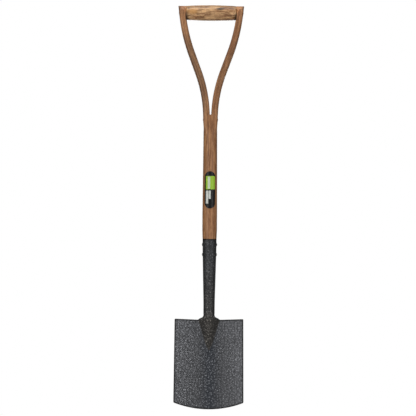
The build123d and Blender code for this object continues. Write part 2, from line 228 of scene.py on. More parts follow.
# ---------------------------------------------------------------- node helpers
class Shader:
    """A material's node tree, with short ways to add and join its nodes."""

    def __init__(self, name):
        self.material = bpy.data.materials.new(name)
        self.material.use_nodes = True
        self.tree = self.material.node_tree
        self.tree.nodes.clear()
        self.surface = self.add("ShaderNodeBsdfPrincipled")
        output = self.add("ShaderNodeOutputMaterial")
        self.join(self.surface.outputs["BSDF"], output.inputs["Surface"])

    def add(self, kind, inputs=None, **settings):
        node = self.tree.nodes.new(kind)
        for key, value in settings.items():
            setattr(node, key, value)
        for key, value in (inputs or {}).items():
            self.put(value, node.inputs[key])
        return node

    def join(self, source, target):
        self.tree.links.new(source, target)

    def put(self, value, socket):
        if isinstance(value, bpy.types.NodeSocket):
            self.join(value, socket)
        else:
            socket.default_value = value

    def place(self, scale=(1, 1, 1), shift=(0, 0, 0), source=None):
        """Object coordinates, or another vector, moved and stretched."""
        if source is None:
            source = self.add("ShaderNodeTexCoord").outputs["Object"]
        node = self.add("ShaderNodeMapping", {"Vector": source, "Scale": scale, "Location": shift})
        return node.outputs["Vector"]

    def noise(self, vector, scale=1.0, detail=2.0, roughness=0.5, distortion=0.0):
        node = self.add("ShaderNodeTexNoise", {"Vector": vector, "Scale": scale, "Detail": detail,
                                               "Roughness": roughness, "Distortion": distortion})
        return node.outputs["Fac"]

    def cells(self, vector, scale, randomness=1.0, dimensions="3D"):
        inputs = {"Vector": vector, "Scale": scale, "Randomness": randomness}
        node = self.add("ShaderNodeTexVoronoi", inputs, voronoi_dimensions=dimensions)
        return node.outputs["Distance"]

    def math(self, operation, a, b=0.0, clamp=False):
        node = self.add("ShaderNodeMath", {0: a, 1: b}, operation=operation, use_clamp=clamp)
        return node.outputs["Value"]

    def plus(self, a, b, clamp=False):
        return self.math("ADD", a, b, clamp)

    def times(self, a, b):
        return self.math("MULTIPLY", a, b)

    def remap(self, value, low, high, to_low=0.0, to_high=1.0):
        node = self.add("ShaderNodeMapRange", {"Value": value, "From Min": low, "From Max": high,
                                               "To Min": to_low, "To Max": to_high})
        return node.outputs["Result"]

    def attribute(self, name, output="Fac"):
        return self.add("ShaderNodeAttribute", attribute_name=name).outputs[output]

    def axes(self, vector):
        return self.add("ShaderNodeSeparateXYZ", {"Vector": vector}).outputs

    def ramp(self, value, *stops):
        node = self.add("ShaderNodeValToRGB", {"Fac": value})
        elements = node.color_ramp.elements
        while len(elements) < len(stops):
            elements.new(0.5)
        for element, (position, colour) in zip(elements, stops):
            element.position = position
            element.color = colour
        return node.outputs["Color"]

    def mix(self, factor, a, b, blend="MIX"):
        node = self.add("ShaderNodeMix", data_type="RGBA", blend_type=blend)
        self.put(factor, node.inputs[0])
        self.put(a, node.inputs[6])
        self.put(b, node.inputs[7])
        return node.outputs[2]

    def tinted(self, colour, tint):
        return self.mix(1.0, colour, tint, "MULTIPLY")

    def finish(self, colour, roughness, height, distance, strength, plain=None):
        """Joins colour, roughness and relief to the surface, and sets its plain values."""
        self.put(colour, self.surface.inputs["Base Color"])
        self.put(roughness, self.surface.inputs["Roughness"])
        bump = self.add("ShaderNodeBump", {"Height": height, "Distance": distance, "Strength": strength})
        self.join(bump.outputs["Normal"], self.surface.inputs["Normal"])
        for key, value in (plain or {}).items():
            self.surface.inputs[key].default_value = value
        return self.material


def shade(colour, factor):
    """A colour made darker or lighter."""
    return tuple(min(c * factor, 1.0) for c in colour[:3]) + (1.0,)


# hammered enamel: how many of each there are to the metre
DIMPLES = 400
SPARKLE = 900
DRIFTS = 11
DOTS = 225
EVEN_DOTS = 150
# and where it changes over the head
SHADED_MIDDLE_X = 0.003                # painted shade: the darker, bluer middle of the blade
SHADED_MIDDLE_REACH = (0.004, 0.030)
SHEEN_TINT_Z = (-0.72, -0.63)         # painted sheen on the socket and the V: brownish below, bluish above
FLANK_SHADE_X = (0.006, 0.013)        # painted shade: the V's flanks darker than its crest
FLANK_SHADE_Z = (-0.766, -0.778)
RIM = (0.0020, 0.0044)          # how far the dark rim reaches in from the edge


def hammered_enamel(settings):
    """Charcoal hammer-finish enamel on the sheet: crowded small dimples that catch the light, a
    fine sparkle between them and broad drifts of tone. Over the socket and the V it is darker, as
    painted shade, with a painted sheen, bluer over the upper socket and browner below, and more
    painted shade on the V's flanks. Down the middle of the blade it is darker and bluer, as
    painted shade, and it is darker along every edge."""
    s = Shader("hammered_enamel")
    spot = s.place()
    axes = s.axes(spot)
    pressed = s.attribute("pressed")
    front = s.add("ShaderNodeCombineXYZ", {"X": axes["X"], "Y": axes["Z"]}).outputs["Vector"]
    dots = s.plus(s.times(loose_dots(s, spot), pressed),
                  s.times(s.cells(front, EVEN_DOTS, 0.75, "2D"), s.math("SUBTRACT", 1.0, pressed)))
    tone, base, height, gloss = enamel_skin(s, spot, dots, settings)
    # painted shade: the blade's middle darker and bluer, where its hollow reflects less of the side lights
    shaded_middle = s.ramp(tone, (0.15, (0.018, 0.022, 0.030, 1)), (0.5, (0.048, 0.054, 0.066, 1)),
                  (0.85, (0.24, 0.25, 0.27, 1)))
    off_middle = s.math("ABSOLUTE", s.plus(axes["X"], -SHADED_MIDDLE_X))
    blade = s.mix(s.remap(off_middle, *SHADED_MIDDLE_REACH, 0.75, 0.0), base, shaded_middle)
    # painted shade: the socket and the V take the darker copy of the enamel
    shaped = s.ramp(tone, (0.12, shade(settings.pressed, 0.3)), (0.46, shade(settings.pressed, 1.1)),
                    (0.8, shade(settings.pressed, 4.5)))
    # painted sheen: the socket's colour bluer above and browner below
    tint = s.mix(s.remap(axes["Z"], *SHEEN_TINT_Z), (1.04, 1.0, 0.95, 1), (0.95, 1.0, 1.08, 1))
    # painted shade on the V's flanks, away from its crest
    flank = s.times(s.remap(s.math("ABSOLUTE", axes["X"]), *FLANK_SHADE_X), s.remap(axes["Z"], *FLANK_SHADE_Z))
    shaped = s.mix(s.times(flank, 0.6), s.tinted(shaped, tint), shade(settings.pressed, 0.35))
    ragged = s.remap(s.noise(spot, SPARKLE, 2.0, 0.6), 0.3, 0.7, -0.0005, 0.0005)
    rim = s.remap(s.plus(s.attribute("edge"), ragged), *RIM, 0.95, 0.0)
    base = s.mix(rim, s.mix(pressed, blade, shaped), shade(settings.colour, 0.08))
    roughness = s.plus(gloss, s.times(pressed, 0.16))
    return s.finish(base, roughness, height, 0.0009, 0.8, {"Metallic": 0.62})


def painted_rivet(settings):
    """The same enamel on a rivet, without the sheet's changes."""
    s = Shader("painted_rivet")
    spot = s.place()
    _, base, height, gloss = enamel_skin(s, spot, loose_dots(s, spot), settings)
    return s.finish(base, gloss, height, 0.0009, 0.8, {"Metallic": 0.62})


def loose_dots(s, spot):
    """Distance from the nearest of many points scattered through space."""
    return s.cells(s.place(source=spot, shift=(0.3, 0.1, 0.2)), DOTS)


def enamel_skin(s, spot, dots, settings):
    """The enamel's tone, colour, relief and roughness, from its dimples, sparkle, drifts and
    dots."""
    dimples = s.noise(spot, DIMPLES, 1.5, 0.5, 0.4)
    fine = s.noise(spot, SPARKLE, 2.0, 0.6)
    drift = s.noise(spot, DRIFTS, 3.0, 0.5)
    tone = s.plus(s.remap(dimples, 0.38, 0.64, 0.0, 0.34), s.remap(fine, 0.35, 0.65, 0.0, 0.24))
    tone = s.plus(tone, s.remap(dots, 0.08, 0.40, 0.54, 0.0))
    tone = s.plus(tone, s.remap(drift, 0.3, 0.7, -0.06, 0.06), clamp=True)
    base = s.ramp(tone, (0.0, shade(settings.colour, 0.45)), (0.5, tuple(settings.colour)),
                  (0.8, shade(settings.colour, 1.5)), (1.0, shade(settings.colour, 2.6)))
    height = s.plus(s.plus(dimples, s.times(dots, -0.5)), s.times(fine, 0.3))
    gloss = s.remap(s.plus(dimples, drift), 0.7, 1.3, 0.42, 0.34)
    return tone, base, height, gloss


def wood(name, settings, streak, gloss, scale):
    """Oiled ash, as its shader, colour, layers and the rest of what finishes it: growth layers
    as long wavy bands, fine open pores, short dark flecks, mottling and broad stains, all of it
    along the unbent length of the wood."""
    s = Shader(name)
    grain = s.attribute("grain", "Vector")
    across, along = scale

    def layer(width, thickness, length, *noise, shift=(0, 0, 0)):
        """A noise drawn out along the grain."""
        return s.noise(s.place(source=grain, scale=(width, thickness, length), shift=shift), 1, *noise)

    waver = layer(60, 60, along * 0.6, 2.0)
    layers = layer(across, across * 0.7, along, 4.0, 0.62, 0.5)
    pores = layer(900, 900, along * 5, 2.0, 0.7)
    flecks = layer(across * 1.6, across * 1.6, along * 2.4, 3.0, 0.6, 0.8)
    mottle = layer(420, 420, 150, 1.0, shift=(5, 2, 0))
    stain = layer(34, 34, along * 0.9, 3.0, shift=(3, 1, 2))
    bands = s.remap(s.plus(layers, s.times(waver, 0.35)), 0.48, 0.88)
    base = s.ramp(bands, (0.0, shade(settings.dark, 0.8)), (0.25, tuple(settings.dark)),
                  (0.62, tuple(settings.light)), (1.0, shade(settings.light, 1.3)))
    base = s.mix(s.remap(pores, 0.48, 0.7, 0.0, streak), base, shade(settings.dark, 0.6))
    base = s.mix(s.remap(flecks, 0.55, 0.68, 0.0, streak * 1.2), base, shade(settings.dark, 0.45))
    base = s.mix(s.remap(mottle, 0.50, 0.66, 0.0, streak * 0.9), base, shade(settings.dark, 0.75))
    base = s.mix(s.remap(mottle, 0.48, 0.36, 0.0, streak * 0.5), base, shade(settings.light, 1.15))
    base = s.mix(s.remap(stain, 0.52, 0.7, 0.0, 0.4), base, tuple(settings.stain))
    height = s.plus(s.times(pores, -0.6), s.times(layers, 0.4))
    roughness = s.remap(s.plus(pores, stain), 0.7, 1.3, gloss, gloss + 0.16)
    return s, base, roughness, height, layers, stain


def oiled(s, base, roughness, height):
    """Finishes a wood with its thin coat of oil."""
    return s.finish(base, roughness, height, 0.0005, 0.5,
                    {"Coat Weight": 0.05, "Coat Roughness": 0.35, "Specular IOR Level": 0.35})


# where the wood's colour, its painted highlight and its painted shadow change: the start and the end of
# each change
ARMS_TOP_Z = (-0.040, -0.095)       # the arms darken below the grip
ARMS_FOOT_Z = (-0.265, -0.235)      # and clear again towards the shaft
LEFT_X = (-0.004, -0.016)
RIGHT_X = (0.004, 0.016)
SEAT_SHADOW_X = (0.0545, 0.0615)           # painted shadow in the corner where the grip meets an arm
SEAT_SHADOW_OUT_X = (0.0655, 0.0630)
SEAT_SHADOW_Z = (0.001, -0.011)
SEAT_SHADOW_LOW_Z = (-0.022, -0.019)
CORNER_X = (0.0755, 0.0795)         # the outer top corners darker
CORNER_Z = (0.002, 0.010)
LIT_TOP_X = (0.058, 0.064)              # painted highlight: the arms' tops lighter above a slanting line, where the top light falls
LIT_TOP_LINE_X = 0.062
LIT_TOP_SLANT = -0.95
LIT_TOP_Z = (-0.0055, -0.002)
# the grip's marks: their middle and how far they reach
KNOT = ((0.0225, -0.016, 0.0062), (0.0105, 0.016, 0.0040))
PALE_PATCH = ((-0.047, -0.018, 0.0), (0.013, 0.016, 0.0075))
PALE_WOOD = (0.66, 0.34, 0.11, 1)


def stains_and_painted_light(s, base, settings, stain, marks=()):
    """Darker arms, a painted highlight on the arms' tops, marks, a painted shadow where the grip
    meets the arms, and darker outer top corners. Each mark, a (middle, reach), a colour and a
    share, fades out from its middle."""
    axes = s.axes(s.place())
    sideways = s.math("ABSOLUTE", axes["X"])
    arms = s.times(s.remap(axes["Z"], *ARMS_TOP_Z), s.remap(axes["Z"], *ARMS_FOOT_Z))
    share = s.plus(s.remap(axes["X"], *LEFT_X, 0.0, 0.95), s.remap(axes["X"], *RIGHT_X, 0.0, 0.3))
    base = s.mix(s.times(arms, share), base, s.tinted(base, (0.60, 0.64, 0.69, 1)))
    # painted highlight: the arms' tops lighter above a slanting line, where the top light falls on them
    above = s.plus(axes["Z"], s.times(s.plus(sideways, -LIT_TOP_LINE_X), LIT_TOP_SLANT))
    above = s.remap(s.plus(above, s.remap(stain, 0.4, 0.6, -0.001, 0.001)), *LIT_TOP_Z)
    ends = s.times(s.remap(sideways, *LIT_TOP_X), above)
    base = s.mix(s.times(ends, 0.5), base, s.tinted(base, (1.7, 1.6, 1.4, 1)))
    for away, colour, share in marks:
        base = s.mix(s.remap(away, 1.2, 0.5, 0.0, share), base, colour)
    corner = s.times(s.remap(sideways, *CORNER_X), s.remap(axes["Z"], *CORNER_Z))
    base = s.mix(s.times(corner, 0.7), base, shade(settings.dark, 0.4))
    # painted shadow: darker in the corner where each end of the grip meets an arm, below the grip's axis
    seat = s.times(s.remap(sideways, *SEAT_SHADOW_X), s.remap(axes["Z"], *SEAT_SHADOW_Z))
    seat = s.times(seat, s.times(s.remap(sideways, *SEAT_SHADOW_OUT_X), s.remap(axes["Z"], *SEAT_SHADOW_LOW_Z)))
    return s.mix(s.times(seat, 0.88), base, shade(settings.dark, 0.12))


def ash(settings):
    """The shaft's and the arms' wood."""
    s, base, roughness, height, _, stain = wood("ash", settings, 0.34, 0.45, (420, 17))
    return oiled(s, stains_and_painted_light(s, base, settings, stain), roughness, height)


def turned_ash(settings):
    """The grip's wood: paler and more figured, with a dark knot and a pale patch."""
    s, base, roughness, height, layers, stain = wood("turned_ash", settings, 0.42, 0.38, (250, 34))
    wander = s.remap(layers, 0.3, 0.7, -0.25, 0.2)

    def away(mark):
        """Distance from a mark's middle, in its own reaches."""
        middle, reach = mark
        spot = s.place(scale=tuple(1 / r for r in reach))
        centre = tuple(c / r for c, r in zip(middle, reach))
        far = s.add("ShaderNodeVectorMath", {0: spot, 1: centre}, operation="DISTANCE")
        return s.plus(far.outputs["Value"], wander)

    marks = ((away(PALE_PATCH), PALE_WOOD, 0.55), (away(KNOT), shade(settings.dark, 0.15), 0.95))
    return oiled(s, stains_and_painted_light(s, base, settings, stain, marks), roughness, height)


def steel(name, colour, worn):
    """Plain steel: fine turning marks and a mottled, slightly rusty bloom."""
    s = Shader(name)
    spot = s.place()
    bloom = s.noise(spot, 260, 4.0, 0.6)
    marks = s.plus(bloom, s.noise(s.place(source=spot, scale=(60, 900, 900)), 1, 2.0))
    base = s.mix(s.remap(bloom, 0.45, 0.75, 0.0, worn), colour, (0.16, 0.095, 0.06, 1))
    roughness = s.remap(marks, 0.7, 1.3, 0.28, 0.5)
    return s.finish(base, roughness, marks, 0.0003, 0.35, {"Metallic": 1.0})


# the label's blocks: left, right, bottom and top, as shares of its width and height
PANEL = (0.11, 0.97, 0.515, 0.87)
STRIPE = (0.29, 0.52, 0.53, 0.855)
LONG_BAR = (0.12, 0.34, 0.13, 0.48)
SHORT_BAR = (0.38, 0.58, 0.26, 0.48)
SOFT_SIDE = 0.02
SOFT_END = 0.006


def vinyl(settings):
    """Black vinyl with a plain panel and plain bars, read from the piece's own UV map: u runs
    across the label and v up it."""
    s = Shader("label_vinyl")
    uv = s.axes(s.add("ShaderNodeUVMap", uv_map="label").outputs["UV"])

    def block(left, right, bottom, top):
        """1 inside a rectangle and 0 outside, with a soft edge."""
        inside = 1.0
        for axis, low, high, soft in (("X", left, right, SOFT_SIDE), ("Y", bottom, top, SOFT_END)):
            inside = s.times(inside, s.remap(uv[axis], low - soft, low + soft))
            inside = s.times(inside, s.remap(uv[axis], high + soft, high - soft))
        return inside

    scuff = s.noise(s.place(), 500, 3.0, 0.6)
    wear = s.remap(scuff, 0.3, 0.6, 0.75, 1.0)
    base = s.mix(block(*PANEL), tuple(settings.ink), tuple(settings.panel))
    for shape, share in ((STRIPE, 0.7), (LONG_BAR, wear), (SHORT_BAR, wear)):
        base = s.mix(s.times(block(*shape), share), base, tuple(settings.bars))
    roughness = s.remap(scuff, 0.3, 0.7, 0.32, 0.50)
    return s.finish(base, roughness, scuff, 0.0001, 0.3, {"Specular IOR Level": 0.22})


# ---------------------------------------------------------------- head
SOCKET = np.array(((17.6, -569.0), (17.4, -600.0), (14.3, -728.0), (14.1, -795.0))) * MM
SOCKET_OPEN_Z = -0.750      # where its back starts to open
OPENED = radians(62)        # half the angle that the tube still closes round when it meets the blade
NECK_TURN = 0.35            # share of the neck's rows above the shoulders
V_RUN_OUT = 0.0006          # height over which the V's colour fades into the blade's
SOCKET_SHARE = 0.72         # how much of the V's darker colour, a painted shade, the socket has
SHOULDER = ((14.3, 14.0), (14.3, 9.4), (14.8, 7.9), (16.0, 6.9), (19.0, 5.8), (22.6, 4.0),
            (25.6, 1.6), (27.5, 0.0))   # half width and height above the heel, in millimetres


def outline_radius(outline, z):
    """The radius of a turned outline at each height, straight between its points."""
    return np.interp(-z, -outline[:, 1], outline[:, 0])


def blade_relief(x, up, settings):
    """How far the sheet's face stands forward of the blade's plane, over its whole area.

    The larger of two shapes, eased where they meet: a hollow, an arc of one radius across the
    blade; and a V, a rounded crest on two straight flanks, that shrinks evenly down to a point.
    """
    size = np.clip(1 + up / settings.frog_length, 0.01, 1.3)
    x = np.abs(x)
    hollow = settings.dish - np.sqrt(settings.dish**2 - x**2)
    foot_x = settings.frog_half
    foot_y = settings.dish - sqrt(settings.dish**2 - foot_x**2)
    nose = settings.frog_nose
    nose_y = settings.frog_crest - nose
    slope = asin(nose / hypot(foot_x, foot_y - nose_y)) + atan2(nose_y - foot_y, foot_x)
    local = x / size
    crest = nose_y + np.sqrt(np.maximum(nose**2 - local**2, 0))
    flank = nose_y + nose * cos(slope) - (local - nose * sin(slope)) * tan(slope)
    vee = np.where(local < nose * sin(slope), crest, flank) * size
    ease = settings.soften * (1 + 2 * smooth(-up / settings.frog_length))
    near = np.maximum(ease - np.abs(vee - hollow), 0) / ease
    return np.maximum(vee, hollow) + near**2 * ease / 4 * smooth((size - 0.01) / 0.3)


def on_blade(x, up, forward, settings):
    """Points of the leaning blade's own frame, put into the spade's."""
    lean = settings.lift
    y = -forward * cos(lean) + up * sin(lean)
    z = settings.heel_z + up * cos(lean) + forward * sin(lean)
    return np.stack(np.broadcast_arrays(x, y, z), axis=-1)


def band_columns():
    """Where the columns that run down from the socket lie, from -1 to 1, closer at the middle."""
    t = np.linspace(-1, 1, 65)
    return 0.75 * t + 0.25 * t**3


def socket_rows(settings):
    """The rolled tube: circles of its outline's radius, open by the seam at the back."""
    q = band_columns()[None, :]
    z = np.concatenate([np.linspace(SOCKET[0, 1], SOCKET[1, 1], 5)[:-1],
                        np.linspace(SOCKET[1, 1], SOCKET_OPEN_Z, 18)])[:, None]
    radius = outline_radius(SOCKET, z)
    angle = q * (pi - np.arcsin(settings.seam / 2 / radius))
    return np.stack(np.broadcast_arrays(radius * np.sin(angle), -radius * np.cos(angle), z), axis=-1)


def neck_rows(settings):
    """The sheet between socket and blade: arcs of the tube that open out from the back, turning
    row by row into the blade's own relief between two edges that follow the shoulders."""
    q = band_columns()[None, :]
    t = np.linspace(0, 1, 34)[:, None]
    edge_x, edge_up = np.array(SHOULDER).T * MM
    run = np.concatenate([[0], np.cumsum(np.hypot(np.diff(edge_x), np.diff(edge_up)))])
    top = settings.neck
    late = np.clip((t - NECK_TURN) / (1 - NECK_TURN), 0, 1) * run[-1]
    shoulder_x = np.interp(late, run, edge_x)
    early = edge_up[0] + (NECK_TURN - t) / NECK_TURN * (top - edge_up[0])
    shoulder_up = np.where(t < NECK_TURN, early, np.interp(late, run, edge_up))
    middle_up = top * (1 - t)
    up = middle_up + (shoulder_up - middle_up) * q**2
    flat_x = shoulder_x * q
    pressed = on_blade(flat_x, up, blade_relief(flat_x, up, settings), settings)
    z = SOCKET_OPEN_Z - t * (SOCKET_OPEN_Z - settings.heel_z)
    radius = outline_radius(SOCKET, z)
    closed = pi - np.arcsin(settings.seam / 2 / radius)
    angle = q * (closed + (OPENED - closed) * smooth(t / 0.85) ** 0.8)
    rolled = np.stack(np.broadcast_arrays(radius * np.sin(angle), -radius * np.cos(angle), z), axis=-1)
    share = smooth((t - 0.3) / 0.6)[:, :, None]
    return rolled * (1 - share) + pressed * share


def corner_round(x, up, corner_x, corner_up, radius):
    """Turns the square at a corner into a quarter disc: each point keeps its direction from the
    square's inner corner, and its larger coordinate becomes its distance."""
    across = (np.abs(x) - (corner_x - radius)) / radius
    along = (up - (corner_up - np.sign(corner_up) * radius)) / radius * np.sign(corner_up)
    inside = (across > 0) & (along > 0)
    far = np.maximum(across, along)
    scale = np.where(inside, far / np.maximum(np.hypot(across, along), 1e-9), 1)
    new_x = np.where(inside, (corner_x - radius + across * scale * radius) * np.sign(x), x)
    new_up = np.where(inside, corner_up + np.sign(corner_up) * radius * (along * scale - 1), up)
    return new_x, new_up


EDGE_STEPS = np.array((0, 0.2, 0.5, 0.9, 1.4, 2))      # how the rows close up on an edge
BLADE_STEPS = 221                                      # the blade's length, in the same steps


def blade_rows(settings):
    """The blade: rows from its top edge down to the curved cutting edge, each as wide as the
    outline there, standing forward by the blade's relief, with rounded corners."""
    band = band_columns() * settings.frog_half
    near_edge = settings.top_half - EDGE_STEPS[::-1] * MM
    side = np.concatenate([np.linspace(settings.frog_half, near_edge[0], 18)[1:], near_edge[1:]])
    x = np.concatenate([-side[::-1], band, side])[None, :]
    steps = np.concatenate([EDGE_STEPS, np.arange(3.2, 88, 1.25), np.linspace(90, 218, 36),
                            BLADE_STEPS - EDGE_STEPS[::-1]])
    v = (steps / BLADE_STEPS)[:, None]
    beyond = np.clip((np.abs(x) - settings.frog_half) / (settings.top_half - settings.frog_half), 0, 1)
    top = settings.top_rise * beyond
    wide = settings.low_half
    x = x * (1 + (wide / settings.top_half - 1) * v * beyond)
    sag = settings.length - settings.side
    arc = (wide**2 + sag**2) / (2 * sag)
    bottom = -settings.length + arc - np.sqrt(arc**2 - np.minimum(np.abs(x), wide) ** 2)
    up = top + (bottom - top) * v
    x, up = corner_round(x, up, settings.top_half, settings.top_rise, settings.corner)
    x, up = corner_round(x, up, wide, -settings.side, settings.corner)
    return on_blade(x, up, blade_relief(x, up, settings), settings)


def edge_distance(patches):
    """How far each point is from the sheet's free edge, as one array after another."""
    points = np.concatenate([p.reshape(-1, 3) for p in patches])
    tube, neck, blade = patches
    side = (blade.shape[1] - neck.shape[1]) // 2
    rim = np.concatenate([tube[0], tube[:, 0], tube[:, -1], neck[:, 0], neck[:, -1],
                          blade[0, : side + 1], blade[0, -side - 1:], blade[-1], blade[:, 0],
                          blade[:, -1]])
    near = np.full(len(points), 1.0)
    for start in range(0, len(rim), 64):
        gap = points[:, None, :] - rim[None, start:start + 64, :]
        near = np.minimum(near, np.sqrt((gap**2).sum(axis=2)).min(axis=1))
    return near


def pressed_share(patches, settings):
    """1 over the socket and the V and 0 over the blade: how far a point stands out of the
    blade's own hollow, eased."""
    tube, _, blade = (p.reshape(-1, 3) for p in patches)
    lean = settings.lift
    forward = -blade[:, 1] * cos(lean) + (blade[:, 2] - settings.heel_z) * sin(lean)
    hollow = settings.dish - np.sqrt(settings.dish**2 - blade[:, 0] ** 2)
    socket = np.full(len(tube), SOCKET_SHARE)
    turning = np.repeat(np.linspace(SOCKET_SHARE, 1, patches[1].shape[0]), patches[1].shape[1])
    return np.concatenate([socket, turning, smooth((forward - hollow) / V_RUN_OUT)])


def applied(piece):
    """The mesh a piece has once its modifiers are worked out; the piece itself goes."""
    shape = piece.evaluated_get(bpy.context.evaluated_depsgraph_get())
    mesh = bpy.data.meshes.new_from_object(shape)
    name = piece.name
    old = piece.data
    bpy.data.objects.remove(piece)
    bpy.data.meshes.remove(old)
    mesh.name = name
    return mesh


def loose_object(mesh):
    """A mesh as an object, to put modifiers on."""
    piece = bpy.data.objects.new(mesh.name, mesh)
    bpy.context.scene.collection.objects.link(piece)
    return piece


def soften_edges(piece, width, angle):
    """A small bevel on the sharp edges."""
    bevel = piece.modifiers.new("edges", "BEVEL")
    bevel.width = width
    bevel.segments = 2
    bevel.limit_method = "ANGLE"
    bevel.angle_limit = radians(angle)
    bevel.use_clamp_overlap = True


class SPADE_OT_head(bpy.types.Operator):
    """Builds the head: one pressed sheet from the socket's mouth to the cutting edge"""

    bl_idname = "spade.head"
    bl_label = "Head"

    def execute(self, context):
        settings = context.scene.spade_head
        patches = [socket_rows(settings), neck_rows(settings), blade_rows(settings)]
        marks = {"edge": edge_distance(patches), "pressed": pressed_share(patches, settings)}
        mesh = patchwork("spade_head", patches, marks)
        if sum(face.normal.y * face.area for face in mesh.polygons) > 0:
            mesh.flip_normals()
        piece = loose_object(mesh)
        wall = piece.modifiers.new("sheet", "SOLIDIFY")
        wall.thickness = settings.sheet
        wall.offset = -1
        wall.use_even_offset = True
        soften_edges(piece, 0.5 * MM, 50)
        place(applied(piece), hammered_enamel(settings), "head", 40)
        return {"FINISHED"}


# ---------------------------------------------------------------- turned metal
RIVET_SHANK = 2.6 * MM
ROD = 3 * MM
FORK_SHANK = 2.5 * MM
HOLE_GAP = 0.08 * MM        # round the rod and the rivet
DENT = 0.08 * MM            # what the hammer leaves
PEEN_RISE = 0.9 * MM        # the hammered end: its height, and how far it spreads
ROD_SPREAD = 1.4 * MM
FORK_SPREAD = 0.7 * MM
FORK_HEAD = (2.0 * MM, 1.2 * MM)    # the rivet's other end: from its tip to its seat and its brim
ROUNDED = 50                # edges sharper than this stay sharp


def lathe(profile, turns, z=0.0):
    """A profile of (x, radius) points carried round a bar's axis, which runs along X: each point
    goes round a circle of its radius."""
    x, radius = np.array(profile).T[:, :, None]
    angle = np.linspace(0, 2 * pi, turns + 1)[None, :]
    rings = np.broadcast_arrays(x, radius * np.cos(angle), z + radius * np.sin(angle))
    return np.stack(rings, axis=-1)


def dome(brim, radius, rise, steps=9):
    """Points of a domed end, from its brim to its top: an arc of one radius."""
    ball = (radius**2 + rise**2) / (2 * rise)
    angle = np.linspace(asin(radius / ball), 0, steps)
    return [(brim + rise - ball + ball * cos(a), ball * sin(a)) for a in angle]


def headed(shank, right, left):
    """The profile of a bar with a head at each end, each (seat, brim, radius, rise): from the
    right tip to the left one."""
    points = []
    for turn, (seat, brim, radius, rise) in ((1, right), (-1, left)):
        ease = radius * 0.06
        side = [(seat, shank), (seat, radius), (brim - ease, radius)]
        top = dome(brim, radius - ease, rise)
        end = [(turn * x, r) for x, r in side + top]
        points += end[::-1] if turn > 0 else end
    return points


def ring(hole, radius, inner_x, outer_x, ease):
    """The closed profile of a washer with a rounded outer edge."""
    angle = np.linspace(0, pi / 2, 6)
    round_edge = [(outer_x - ease + ease * sin(a), radius - ease + ease * cos(a)) for a in angle]
    return [(inner_x, hole), (inner_x, radius), *round_edge, (outer_x, hole), (inner_x, hole)]


def struck(grid, z, depth):
    """Dents from the hammer: the end faces rise and fall by two crossed waves."""
    y = grid[..., 1]
    up = grid[..., 2] - z
    wave = np.sin(y * 1900 + 0.7) * np.sin(up * 1500 + 1.9) + 0.6 * np.sin(up * 2600 - y * 900)
    near = np.hypot(y, up) > 1e-7
    grid[..., 0] -= np.sign(grid[..., 0]) * depth * (0.5 + 0.5 * wave) * near
    return grid


class SPADE_OT_rivets(bpy.types.Operator):
    """Builds the two painted rivets that hold the shaft in the socket"""

    bl_idname = "spade.rivets"
    bl_label = "Socket rivets"

    def execute(self, context):
        material = painted_rivet(context.scene.spade_head)
        for node in ("socket_rivet_upper", "socket_rivet_lower"):
            low, high = ends_of(node)
            z = (low[2] + high[2]) / 2
            reach = float(outline_radius(SOCKET, z))
            end = (reach - 2 * MM, reach, (high[2] - low[2]) / 2, high[0] - reach)
            mesh = patchwork(f"painted_{node}", [lathe(headed(RIVET_SHANK, end, end), 48, z)])
            place(mesh, material, node, ROUNDED)
        return {"FINISHED"}


class SPADE_OT_hardware(bpy.types.Operator):
    """Builds the bright steel: the grip's rod, the wishbone's rivet and the washers"""

    bl_idname = "spade.hardware"
    bl_label = "Rod, rivet and roves"

    def execute(self, context):
        material = steel("bright_steel", (0.50, 0.49, 0.47, 1), 0.55)
        for node in ("grip_rove_left", "grip_rove_right", "fork_rivet_rove"):
            low, high = ends_of(node)
            z = (low[2] + high[2]) / 2
            radius = (high[2] - low[2]) / 2
            inner, outer = sorted((abs(low[0]), abs(high[0])))
            hole = (FORK_SHANK if "fork" in node else ROD) + HOLE_GAP
            shape = lathe(ring(hole, radius, inner, outer, 0.45 * (outer - inner)), 56, z)
            shape[..., 0] *= np.sign(low[0] + high[0])
            mesh = patchwork(f"steel_{node}", [shape])
            place(mesh, material, node, ROUNDED)
        for node, shank, spread in (("grip_rod", ROD, ROD_SPREAD), ("fork_rivet", FORK_SHANK, FORK_SPREAD)):
            low, high = ends_of(node)
            z = (low[2] + high[2]) / 2
            brim = high[0] - PEEN_RISE
            right = (brim - 0.1 * MM, brim, shank + spread, PEEN_RISE)
            left = right
            if node == "fork_rivet":
                seat, rise = FORK_HEAD
                left = (-low[0] - seat, -low[0] - rise, (high[2] - low[2]) / 2, rise)
            shape = lathe(headed(shank, right, left), 48, z)
            mesh = patchwork(f"steel_{node}", [struck(shape, z, DENT)])
            place(mesh, material, node, ROUNDED)
        return {"FINISHED"}


# ---------------------------------------------------------------- shaft
SHAFT = np.array(((17.1, -287.0), (18.5, -505.0), (18.5, -545.0), (17.7, -568.7))) * MM
TENON = np.array(((15.52, -568.7), (15.32, -600.0), (12.22, -728.0), (12.2, -742.0))) * MM
ARM_START_X = 0.0092
ARM_LEANS = np.radians((2.0, 2.0, 20.25, 20.25, 6.3, 6.3))
CROTCH_BAND = 5 * MM        # closer rows below the crotch
TAPER_Z = -0.545            # where the shaft starts to narrow towards the socket
WAIST = 0.035               # how much it draws in at the wishbone's root, and where
WAIST_Z = -0.003
WAIST_REACH = 0.009
ARM_RUNS = np.array((32.0, 333.0 * radians(18.25), 52.0, 413.0 * radians(13.95), 75.0)) * MM


